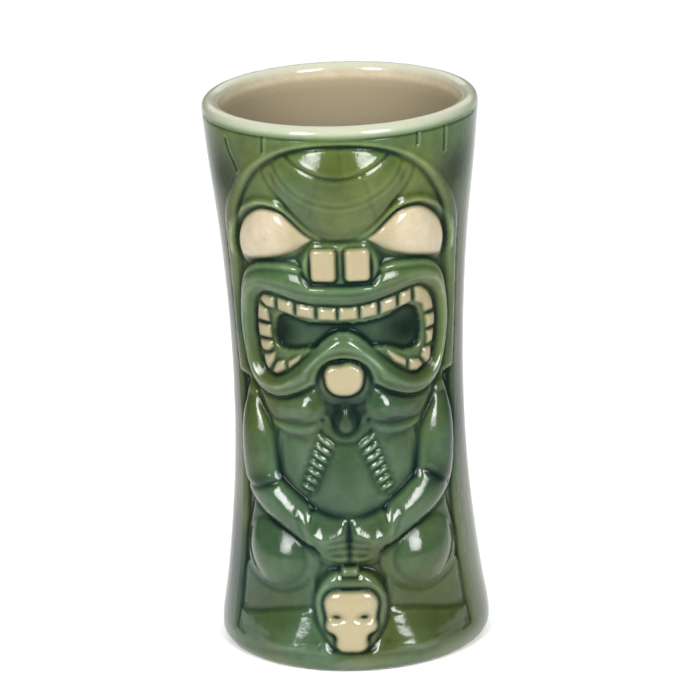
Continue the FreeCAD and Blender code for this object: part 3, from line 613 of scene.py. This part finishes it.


# Places painted darker and less glossy: painted shade in the hollows, in the creases and under the chin and
# nose, and painted dark reflection down the sides, on the knees' tops and on the forehead's crown: x, z,
# half width, half height, amount.
PAINTED_SHADE_PLACES = (
    (0, 84, 7, 7, 0.35),                   # under the chin
    (-25, 60.5, 4.5, 2.6, 0.35),           # the elbows' inner sides
    (26, 61, 3, 4, 0.4),
    (32, 76, 3.5, 14, 0.2),                # down the upper arms
    (-31, 80, 3, 8, 0.15),
    (0, 68, 5, 7, 0.18),                   # the middle of the belly
    (-21.5, 110, 6, 6, 0.25),              # the mouth's corners
    (21, 110, 7, 6, 0.2),
    (0, 128, 18, 4, 0.15),                 # under the nose
    (-37, 158, 6, 10, 0.3),                # beside the hood's arch
    (37, 160, 6, 10, 0.25),
    (-38, 30, 4, 24, 0.3),                 # the left side, low down
    (-37, 120, 4, 30, 0.2),                # both sides, beside the face
    (37, 110, 4, 30, 0.25),
    (32, 74, 3, 12, 0.3),                  # the right upper arm again
    (-24, 40, 8, 4, 0.15),                 # the knees' tops
    (24, 38, 8, 4, 0.12),
    (0, 163, 9, 6, 0.12),                  # the forehead's crown
)
for x, z, across, up, amount in PAINTED_SHADE_PLACES:
    hollow += amount * oval(x, z, across, up)
pool_and_shade = np.clip(EVEN_POOL + hollow, 0, 1)
pool_and_shade += (BASE_POOL - pool_and_shade) * step(7 - HEIGHT, 2)

# The cream glaze: its nodes, how strong it is and over how many mm it starts at their edges.
CREAM_NODES = (
    (("eye_left", "eye_right"), 1.0, 1.3),
    (("nostril_left", "nostril_right"), 0.8, 1.2),
    (("teeth_upper", "teeth_side_left", "teeth_side_right"), 0.7, 1.2),
    (("chin_tuft", "skull_face"), 0.8, 1.8),
)
cream = np.zeros_like(H)
for group, strength, fade in CREAM_NODES:
    for name in group:
        region = regions[name]
        here = strength * step(0.2 - region.signed, fade)
        cream[region.window] = np.maximum(cream[region.window], here)
cream = np.minimum(cream, 0.8 + 0.2 * step(abs(SEEN_X) - 13, 8))
for socket in SOCKETS:
    cream *= 1 - 0.9 * oval(socket, 18.8, 1.9, 0.85)
# where the pooled glaze and its painted shade are deepest, the cream gives way to the dark green
cream *= 1 - step(pool_and_shade - 0.8, 0.2)


def rim_pale(z):
    """How thin the glaze has run at the rim and, less so, at the foot."""
    return step(z - 173.6, 4) + 0.2 * step(7.5 - z, 5)


pale = rim_pale(HEIGHT)


# ------------------------------------------------------------------ meshes


def add_object(name, data):
    """A new object in the scene."""
    added = bpy.data.objects.new(name, data)
    bpy.context.scene.collection.objects.link(added)
    return added


def add_mesh(name, points, faces, loop_normals, attributes):
    """An object in metres from points in mm, with its own normals and point attributes."""
    mesh = bpy.data.meshes.new(name)
    mesh.from_pydata((points * MM).tolist(), [], faces)
    mesh.polygons.foreach_set("use_smooth", np.ones(len(mesh.polygons), bool))
    mesh.normals_split_custom_set(loop_normals.tolist())
    for key, values in attributes.items():
        layer = mesh.attributes.new(key, "FLOAT", "POINT")
        layer.data.foreach_set("value", values.astype(np.float32))
    return add_object(name, mesh)


def closed_piece(faces_here):
    """A closed piece over these grid faces: top, underside and the sides between them."""
    rows, cols = np.nonzero(faces_here)
    right = (cols + 1) % N_COLS
    quads = np.stack([rows * N_COLS + cols, rows * N_COLS + right,
                      (rows + 1) * N_COLS + right, (rows + 1) * N_COLS + cols], 1)
    # Number the points that are used from 0, the top's first and then the underside's.
    used, compact = np.unique(quads, return_inverse=True)
    compact = compact.reshape(-1, 4)
    count = len(used)
    # An edge that only one face has is on the border, and gets a side.
    edges = np.concatenate([compact[:, [k, (k + 1) % 4]] for k in range(4)])
    key = edges.min(1).astype(np.int64) * count + edges.max(1)
    _, first, times = np.unique(key, return_index=True, return_counts=True)
    border = edges[first[times == 1]]
    sides = np.stack([border[:, 1], border[:, 0], border[:, 0] + count, border[:, 1] + count], 1)
    faces = np.concatenate([compact, compact[:, ::-1] + count, sides])
    top, under = TOP.reshape(-1, 3)[used], UNDER.reshape(-1, 3)[used]
    points = np.concatenate([top, under])
    normals = NORMALS.reshape(-1, 3)[used]
    side_normals = np.cross(points[sides[:, 1]] - points[sides[:, 0]],
                            points[sides[:, 2]] - points[sides[:, 1]])
    side_normals /= np.linalg.norm(side_normals, axis=1, keepdims=True) + 1e-12
    loops = np.concatenate([
        normals[compact.ravel()], -normals[compact[:, ::-1].ravel()], np.repeat(side_normals, 4, axis=0)])
    values = {"pool_and_shade": pool_and_shade.ravel()[used], "cream": cream.ravel()[used], "pale": pale.ravel()[used]}
    attributes = {key: np.concatenate([value, value]) for key, value in values.items()}
    return points, faces, loops, attributes


pieces = {}
for index, name in enumerate(names):
    points, faces, loops, attributes = closed_piece(owner == index)
    pieces[name] = add_mesh("glazed_" + name, points, faces.tolist(), loops, attributes)

# ------------------------------------------------------------------ the vessel

# The vessel's own sizes in mm; its outside follows the wall.
RIM_WALL = 5.2
INNER_WAIST, WAIST_HEIGHT = 31.0, 82.0
INNER_FLOOR, FLOOR_TOP, FLOOR_ROUND = 36.2, 7.0, 9.0
FOOT_ROUND, RECESS_RADIUS, RECESS_DEPTH = 3.6, 31.0, 1.4
CORNER = 0.03                              # two points this close together keep a corner sharp


def arc_points(centre, radius, start, end, count):
    """Points on an arc of the section, between two angles in degrees."""
    turn = np.radians(np.linspace(start, end, count))
    return np.stack([centre[0] + radius * np.cos(turn), centre[1] + radius * np.sin(turn)], 1)


def flare(z, end_radius, end_height):
    """The inside radius between the waist, where it is upright, and a wider end."""
    part = (z - WAIST_HEIGHT) / (end_height - WAIST_HEIGHT)
    return INNER_WAIST + (end_radius - INNER_WAIST) * part**2


def inner_wall(z):
    """The inside radius at a height."""
    above = flare(z, RIM_OUTER - RIM_WALL, TOTAL - RIM_WALL / 2)
    return np.where(z > WAIST_HEIGHT, above, flare(z, INNER_FLOOR, FLOOR_TOP))


def vessel_profile():
    """Radius and height round the vessel's section, from the floor's middle to the recess's."""
    half = RIM_WALL / 2
    floor_corner = float(inner_wall(FLOOR_TOP + FLOOR_ROUND)) - FLOOR_ROUND
    floor = np.stack([np.linspace(0, floor_corner, 14), np.full(14, FLOOR_TOP)], 1)
    bend = arc_points((floor_corner, FLOOR_TOP + FLOOR_ROUND), FLOOR_ROUND, -90, 0, 14)[1:]
    heights = np.linspace(FLOOR_TOP + FLOOR_ROUND, TOTAL - half, 60)[1:]
    inside = np.stack([inner_wall(heights), heights], 1)
    rim = arc_points((RIM_OUTER - half, TOTAL - half), half, 180, 0, 25)[1:]
    collar = [[RIM_OUTER, HIGH_Z + CORNER], [RIM_OUTER, HIGH_Z], [RIM_OUTER - CORNER, HIGH_Z]]
    # The body reaches a little way into the undersides of the pieces that lie on it.
    behind_z = np.linspace(HIGH_Z, LOW_Z, 40)
    behind_mantle = np.stack([wall_radius(behind_z) + GROUND - HIDDEN + 0.1, behind_z], 1)
    foot = wall_radius(LOW_Z)
    flange = [[foot - CORNER, LOW_Z], [foot, LOW_Z], [foot, LOW_Z - CORNER]]
    heel = arc_points((foot - FOOT_ROUND, FOOT_ROUND), FOOT_ROUND, 0, -90, 14)
    under = [[RECESS_RADIUS + RECESS_DEPTH, 0], [RECESS_RADIUS, RECESS_DEPTH]]
    recess = np.stack([np.linspace(RECESS_RADIUS, 0, 10), np.full(10, RECESS_DEPTH)], 1)[1:]
    return np.concatenate([floor, bend, inside, rim, collar, behind_mantle, flange, heel, under, recess])


def turned(profile):
    """Points and outward faces of a closed body, turned from a section that ends on the axis."""
    radius, height = profile[1:-1, 0], profile[1:-1, 1]
    rows = len(radius)
    ring = np.stack([radius[:, None] * np.sin(ANGLES), -radius[:, None] * np.cos(ANGLES),
                     np.broadcast_to(height[:, None], (rows, N_COLS))], -1).reshape(-1, 3)
    points = np.concatenate([ring, [[0, 0, profile[0, 1]], [0, 0, profile[-1, 1]]]])
    here = np.arange(N_COLS)
    beside = (here + 1) % N_COLS
    start = N_COLS * np.arange(rows - 1)[:, None]
    after = start + N_COLS
    quads = np.stack([after + here, after + beside, start + beside, start + here], -1).reshape(-1, 4)
    first = np.stack([here, beside, np.full(N_COLS, rows * N_COLS)], 1)
    last_row = (rows - 1) * N_COLS
    last = np.stack([last_row + beside, last_row + here, np.full(N_COLS, rows * N_COLS + 1)], 1)
    return points, quads.tolist() + first.tolist() + last.tolist()


def smooth_normals(points, faces):
    """The normal of each point of a smooth surface."""
    mesh = bpy.data.meshes.new("normals_only")
    mesh.from_pydata(points.tolist(), [], faces)
    normals = np.empty(len(points) * 3)
    mesh.vertex_normals.foreach_get("vector", normals)
    bpy.data.meshes.remove(mesh)
    return normals.reshape(-1, 3)


def build_vessel():
    """The turned body, with the ground between the carved masses over it."""
    points, faces = turned(vessel_profile())
    loops = smooth_normals(points, faces)[np.concatenate(faces)]
    ground_points, ground_faces, ground_loops, ground_tints = closed_piece(owner < 0)
    height = points[:, 2]
    inside = np.hypot(points[:, 0], points[:, 1]) < wall_radius(height) - 3.0
    lining = np.where(inside & (height > FLOOR_TOP - 0.1), 1.0, 0.0)
    tints = {
        # painted shade: the lining is darkened, and gleams less, from just under the rim down
        "pool_and_shade": BASE_POOL + (1 - BASE_POOL) * inside * step(TOTAL - 2.2 - height, 4),
        "cream": np.maximum(lining, 0.8 * step(height - TOTAL + 2.0, 1.8)),
        "pale": rim_pale(height),
    }
    return add_mesh(
        "glazed_vessel", np.concatenate([points, ground_points]),
        faces + (ground_faces + len(points)).tolist(), np.concatenate([loops, ground_loops]),
        {key: np.concatenate([tints[key], ground_tints[key]]) for key in tints})


pieces["vessel"] = build_vessel()

# ------------------------------------------------------------------ materials


class Shading:
    """A new material's nodes, with a short method for each kind that the glaze uses."""

    def __init__(self, name):
        self.material = bpy.data.materials.new(name)
        self.material.use_nodes = True
        self.nodes = self.material.node_tree.nodes
        self.shader = self.nodes["Principled BSDF"]
        self.places = self.nodes.new("ShaderNodeTexCoord").outputs["Object"]

    def feed(self, value, socket):
        """Link an output to a socket, or set the socket to a number or a colour."""
        if isinstance(value, tuple):
            socket.default_value = (*value, 1)
        elif isinstance(value, (int, float)):
            socket.default_value = value
        else:
            self.material.node_tree.links.new(value, socket)

    def attribute(self, name):
        """One of the tints that the mesh holds for each point."""
        node = self.nodes.new("ShaderNodeAttribute")
        node.attribute_name = name
        return node.outputs["Fac"]

    def height(self):
        node = self.nodes.new("ShaderNodeSeparateXYZ")
        self.feed(self.places, node.inputs["Vector"])
        return node.outputs["Z"]

    def noise(self, scale, detail, roughness=0.5):
        """Noise with this many cells to a metre, and this many finer layers."""
        node = self.nodes.new("ShaderNodeTexNoise")
        self.feed(self.places, node.inputs["Vector"])
        for name, value in (("Scale", scale), ("Detail", detail), ("Roughness", roughness)):
            self.feed(value, node.inputs[name])
        return node.outputs["Fac"]

    def remap(self, value, low, high, to_low, to_high):
        node = self.nodes.new("ShaderNodeMapRange")
        self.feed(value, node.inputs["Value"])
        for name, number in zip(("From Min", "From Max", "To Min", "To Max"), (low, high, to_low, to_high)):
            self.feed(number, node.inputs[name])
        return node.outputs["Result"]

    def add(self, first, second):
        node = self.nodes.new("ShaderNodeMath")
        node.operation = "ADD"
        self.feed(first, node.inputs[0])
        self.feed(second, node.inputs[1])
        return node.outputs["Value"]

    def ramp(self, value, stops):
        """A colour for a value from 0 to 1, between stops of a place and a colour."""
        node = self.nodes.new("ShaderNodeValToRGB")
        elements = node.color_ramp.elements
        while len(elements) < len(stops):
            elements.new(0.5)
        for element, (place, colour) in zip(elements, stops):
            element.position = place
            element.color = (*colour, 1)
        self.feed(value, node.inputs["Fac"])
        return node.outputs["Color"]

    def blend(self, factor, first, second, mode="MIX"):
        """Mix two colours; the node's sockets for colours come after those for other kinds."""
        node = self.nodes.new("ShaderNodeMix")
        node.data_type = "RGBA"
        node.blend_type = mode
        self.feed(factor, node.inputs["Factor"])
        self.feed(first, node.inputs[6])
        self.feed(second, node.inputs[7])
        return node.outputs[2]


# Glaze colours from thin on the ridges to deep in the hollows, in its two casts; the deep end also carries
# the painted shade of grooves, recesses and shaded places.
TEAL_GLAZE = ((0.0, (0.10, 0.155, 0.10)), (0.2, (0.044, 0.078, 0.042)), (0.45, (0.023, 0.045, 0.021)),
              (0.75, (0.008, 0.019, 0.012)), (1.0, (0.002, 0.007, 0.006)))
OLIVE_GLAZE = ((0.0, (0.10, 0.135, 0.07)), (0.2, (0.05, 0.07, 0.028)), (0.45, (0.031, 0.044, 0.012)),
               (0.75, (0.012, 0.019, 0.006)), (1.0, (0.003, 0.007, 0.004)))
UPPER_GLAZE = (1.7, 1.6, 1.25)             # times the green, where it is thinner higher up
CREAM_GLAZE = (0.335, 0.29, 0.205)
CREAM_THICK = (0.28, 0.235, 0.155)
CREAM_YELLOW = (0.215, 0.185, 0.11)        # where the cream is weaker
# cream in pooled glaze and in painted shade, in the hollows and down inside the mug
CREAM_POOLED_AND_SHADED = (0.165, 0.14, 0.09)           # in the hollows and down inside the mug
RIM_GLAZE = (0.28, 0.30, 0.23)
PALE_GLAZE = (0.24, 0.29, 0.20)            # thin green glaze at the rim and the foot
FRECKLE = (0.55, 0.55, 0.5)                # times the glaze, in its fine dark specks


def green_glaze(glaze, clouds, mottle):
    """Dark where the glaze pools and where shade is painted, in teal and olive patches, lighter higher up,
    pale at both ends.
    """
    wander = glaze.remap(clouds, 0.35, 0.65, -0.10, 0.10)
    grain = glaze.remap(mottle, 0.3, 0.7, -0.05, 0.05)
    # the depth here is the pooled glaze together with its painted shade
    depth = glaze.add(glaze.add(glaze.attribute("pool_and_shade"), wander), grain)
    cast = glaze.remap(glaze.noise(22, 2), 0.42, 0.6, 0, 1)
    green = glaze.blend(cast, glaze.ramp(depth, TEAL_GLAZE), glaze.ramp(depth, OLIVE_GLAZE))
    upper = glaze.remap(glaze.height(), 0.09, 0.165, 0, 1)
    green = glaze.blend(upper, green, UPPER_GLAZE, "MULTIPLY")
    thin = glaze.add(glaze.attribute("pale"), wander)
    return glaze.blend(glaze.remap(thin, 0.1, 1.0, 0, 1), green, PALE_GLAZE)


def cream_glaze(glaze, cream, mottle):
    """Mottled, darker where it pools in the hollows, with painted shade there and down inside the mug,
    yellower where it is weak.
    """
    tone = glaze.blend(glaze.remap(mottle, 0.3, 0.75, 0, 1), CREAM_GLAZE, CREAM_THICK)
    tone = glaze.blend(glaze.remap(glaze.attribute("pool_and_shade"), 0.6, 1.0, 0, 1), tone, CREAM_POOLED_AND_SHADED)
    return glaze.blend(glaze.remap(cream, 0.8, 1.0, 0, 1), CREAM_YELLOW, tone)


def glaze_material():
    """The whole mug's glaze. Its hollows gleam less than its ridges, a painted shade on the reflections
    that follows the pooled glaze and its painted shade.
    """
    glaze = Shading("tiki_glaze")
    clouds = glaze.noise(38, 3)
    mottle = glaze.noise(260, 4, 0.6)
    cream = glaze.attribute("cream")
    colour = glaze.blend(glaze.remap(cream, 0, 0.8, 0, 1), green_glaze(glaze, clouds, mottle),
                         cream_glaze(glaze, cream, mottle))
    colour = glaze.blend(glaze.remap(glaze.height(), 0.1750, 0.1772, 0, 0.75), colour, RIM_GLAZE)
    freckles = glaze.remap(glaze.noise(1500, 2), 0.62, 0.72, 0, 0.35)
    colour = glaze.blend(freckles, colour, FRECKLE, "MULTIPLY")
    # painted shade on the reflections: less gleam where the glaze pools and where shade is painted
    gleam = glaze.remap(glaze.attribute("pool_and_shade"), 0.2, 0.9, 0.38, 0.06)

    peel = glaze.nodes.new("ShaderNodeBump")
    peel.inputs["Strength"].default_value = 0.25
    peel.inputs["Distance"].default_value = 0.0003
    glaze.feed(glaze.noise(420, 2), peel.inputs["Height"])

    glaze.feed(colour, glaze.shader.inputs["Base Color"])
    glaze.feed(glaze.remap(mottle, 0.3, 0.7, 0.09, 0.17), glaze.shader.inputs["Roughness"])
    glaze.feed(gleam, glaze.shader.inputs["Specular IOR Level"])
    glaze.shader.inputs["IOR"].default_value = 1.5
    glaze.feed(peel.outputs["Normal"], glaze.shader.inputs["Normal"])
    return glaze.material


tiki_glaze = glaze_material()
for node, piece in pieces.items():
    piece.data.materials.append(tiki_glaze)
    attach(piece, "root")
    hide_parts(node)

# ------------------------------------------------------------------ floor, light and camera

LIGHTS_AIM = (0, 0, 0.09)                  # the mug's middle, in metres
SOFTBOX_SIZE, SOFTBOX_POWER, SOFTBOX_SPREAD = (0.42, 0.75), 2.5, 50     # metres, watts, degrees
OVERHEAD_SIZE, OVERHEAD_POWER = (2.6, 2.6), 37
WORLD_LIGHT = 0.12
FLOOR_HALF = 3.0


def area_light(name, place, size, power, spread=180):
    """A rectangular light that faces the mug: metres, watts, degrees."""
    light = bpy.data.lights.new(name, "AREA")
    light.shape = "RECTANGLE"
    light.size, light.size_y = size
    light.energy = power
    light.spread = math.radians(spread)
    lamp = add_object(name, light)
    lamp.location = place
    lamp.rotation_euler = (Vector(LIGHTS_AIM) - Vector(place)).to_track_quat("-Z", "Y").to_euler()


for side, out in SIDES:
    area_light(f"softbox_{side}", (out * 0.6, -0.97, 0.62), SOFTBOX_SIZE, SOFTBOX_POWER, SOFTBOX_SPREAD)
area_light("overhead", (0, 0.9, 1.5), OVERHEAD_SIZE, OVERHEAD_POWER)

world = bpy.data.worlds.new("studio")
world.use_nodes = True
background = world.node_tree.nodes["Background"]
background.inputs["Color"].default_value = (1, 1, 1, 1)
background.inputs["Strength"].default_value = WORLD_LIGHT
bpy.context.scene.world = world


def white_floor():
    """A wide sheet of white paper."""
    mesh = bpy.data.meshes.new("floor")
    corners = [(-FLOOR_HALF, -FLOOR_HALF, 0), (FLOOR_HALF, -FLOOR_HALF, 0),
               (FLOOR_HALF, FLOOR_HALF, 0), (-FLOOR_HALF, FLOOR_HALF, 0)]
    mesh.from_pydata(corners, [], [(0, 1, 2, 3)])
    paper = bpy.data.materials.new("white_paper")
    paper.use_nodes = True
    shader = paper.node_tree.nodes["Principled BSDF"]
    shader.inputs["Base Color"].default_value = (0.9, 0.9, 0.9, 1)
    shader.inputs["Roughness"].default_value = 0.6
    mesh.materials.append(paper)
    return add_object("floor", mesh)


floor = white_floor()

# The camera looks down at the mug's middle from a little to the right, and is rolled a little.
CAMERA_DISTANCE = 1.35                     # metres
CAMERA_LIFT, CAMERA_TURN, CAMERA_ROLL = 18.05, 2.2, 1.88                # degrees
CAMERA_LENS, CAMERA_SENSOR = 217.9, 36     # mm
CAMERA_SHIFT = (0.0027, 0.0199)            # parts of the picture's width


def front_camera():
    """A long lens in front of the mug."""
    data = bpy.data.cameras.new("camera")
    data.lens, data.sensor_width = CAMERA_LENS, CAMERA_SENSOR
    data.shift_x, data.shift_y = CAMERA_SHIFT
    data.clip_start = 0.01
    lift, turn = math.radians(CAMERA_LIFT), math.radians(CAMERA_TURN)
    toward = Vector((math.sin(turn) * math.cos(lift), -math.cos(turn) * math.cos(lift), math.sin(lift)))
    roll = Quaternion((0, 0, 1), -math.radians(CAMERA_ROLL))
    camera = add_object("camera", data)
    camera.location = Vector((0, 0, TOTAL * MM / 2)) + toward * CAMERA_DISTANCE
    camera.rotation_mode = "QUATERNION"
    camera.rotation_quaternion = (-toward).to_track_quat("-Z", "Y") @ roll
    return camera


bpy.context.scene.camera = front_camera()
bpy.context.scene.view_settings.view_transform = "Standard"
